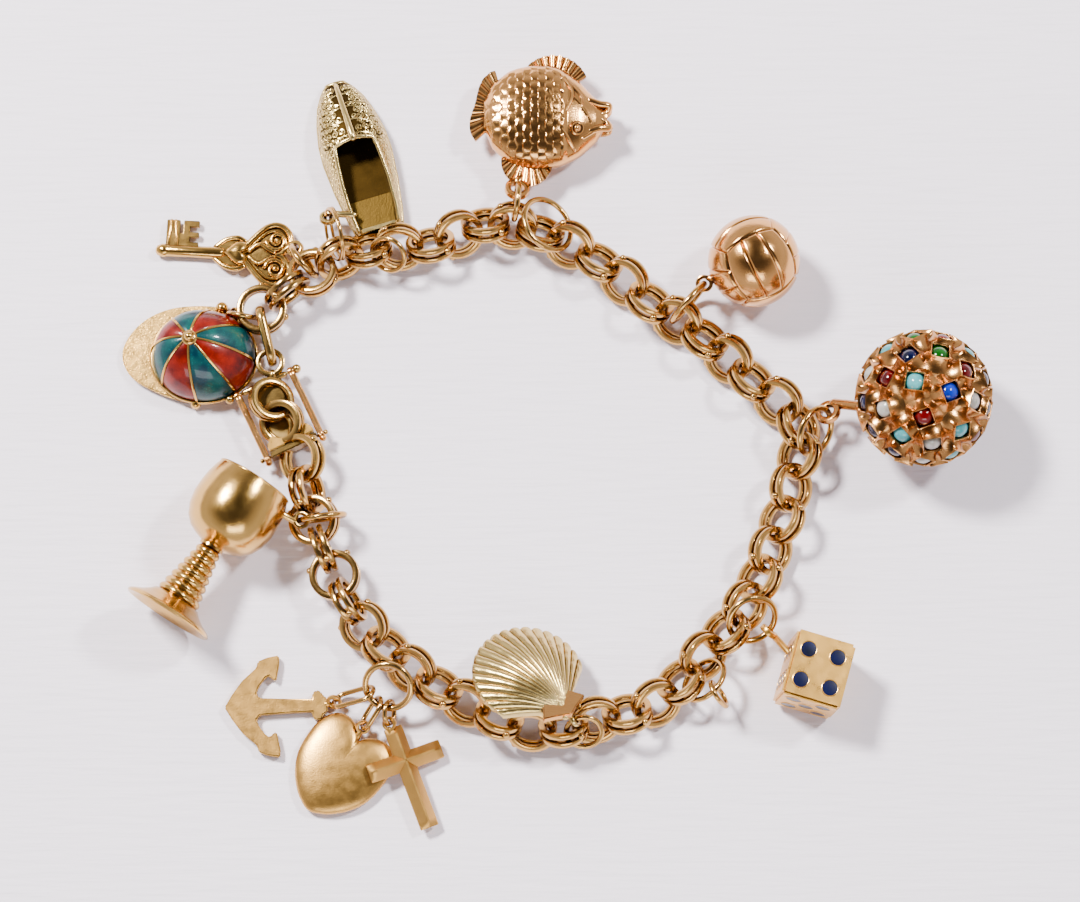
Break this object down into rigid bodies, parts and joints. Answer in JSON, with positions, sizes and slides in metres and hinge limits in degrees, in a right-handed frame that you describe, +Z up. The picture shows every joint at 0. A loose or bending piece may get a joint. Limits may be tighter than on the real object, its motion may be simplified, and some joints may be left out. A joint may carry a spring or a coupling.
{
  "type": "charm bracelet",
  "caption": "Gold double-ring chain bracelet closed by a box clasp with hinged safety bars, hung with assorted small charms on jump rings.",
  "frame": {"origin": "centre of the laid-out bracelet's box in plan, on the table that it lies on", "axes": "+Z up from the table; +X to the right of a reader facing the layout, along its longest extent; +Y away from the reader"},
  "size_m": [0.1024, 0.0931, 0.016],
  "materials": {
    "chain_gold": "polished",
    "clasp_gold": "polished",
    "rose_gold": "polished",
    "yellow_gold": "polished",
    "green_gold": "satin",
    "satin_gold": "satin",
    "enamel_teal": "gloss",
    "enamel_red": "gloss",
    "enamel_navy": "gloss",
    "stone_turquoise": "gloss",
    "stone_ruby": "gloss",
    "stone_emerald": "gloss",
    "stone_sapphire": "gloss",
    "stone_navy": "gloss",
    "pearl": "gloss"
  },
  "bodies": {
    "bracelet": {"anchor": "satin_gold", "anchor_jump_ring": "chain_gold", "ball": "rose_gold", "ball_jump_ring": "chain_gold", "cap": "yellow_gold", "cap_enamel": "enamel_teal", "cap_jump_ring": "chain_gold", "chain_run_1": "chain_gold", "chain_run_2": "chain_gold", "chain_run_3": "chain_gold", "chain_run_4": "chain_gold", "chain_run_5": "chain_gold", "chain_run_6": "chain_gold", "chain_run_7": "chain_gold", "chain_run_8": "chain_gold", "clasp_box": "clasp_gold", "clasp_tongue": "clasp_gold", "cluster_jump_ring": "chain_gold", "connecting_link": "clasp_gold", "cross": "satin_gold", "cross_jump_ring": "chain_gold", "die": "yellow_gold", "die_jump_ring": "chain_gold", "fish": "rose_gold", "fish_jump_ring": "chain_gold", "goblet": "rose_gold", "goblet_jump_ring": "chain_gold", "heart": "satin_gold", "heart_jump_ring": "chain_gold", "jewelled_ball": "yellow_gold", "jewelled_ball_jump_ring": "chain_gold", "key": "yellow_gold", "key_jump_ring": "chain_gold", "shell": "green_gold", "shell_jump_ring": "chain_gold", "slipper": "green_gold", "slipper_jump_ring": "chain_gold", "small_jump_ring": "chain_gold", "spare_jump_ring": "chain_gold", "spare_small_ring": "chain_gold", "wide_jump_ring": "chain_gold"},
    "left_safety_bar": {"safety_bar_left": "clasp_gold"},
    "right_safety_bar": {"safety_bar_right": "clasp_gold"}
  },
  "joints": [
    {"name": "left_safety_hinge", "type": "hinge", "parent": "bracelet", "child": "left_safety_bar", "pos_m": [-0.03738, 0.00493, 0.0021], "axis": [-0.9026, -0.4305, 0], "range_deg": [0, 90]},
    {"name": "right_safety_hinge", "type": "hinge", "parent": "bracelet", "child": "right_safety_bar", "pos_m": [-0.03111, 0.00792, 0.0021], "axis": [-0.9026, -0.4305, 0], "range_deg": [0, 90]}
  ]
}
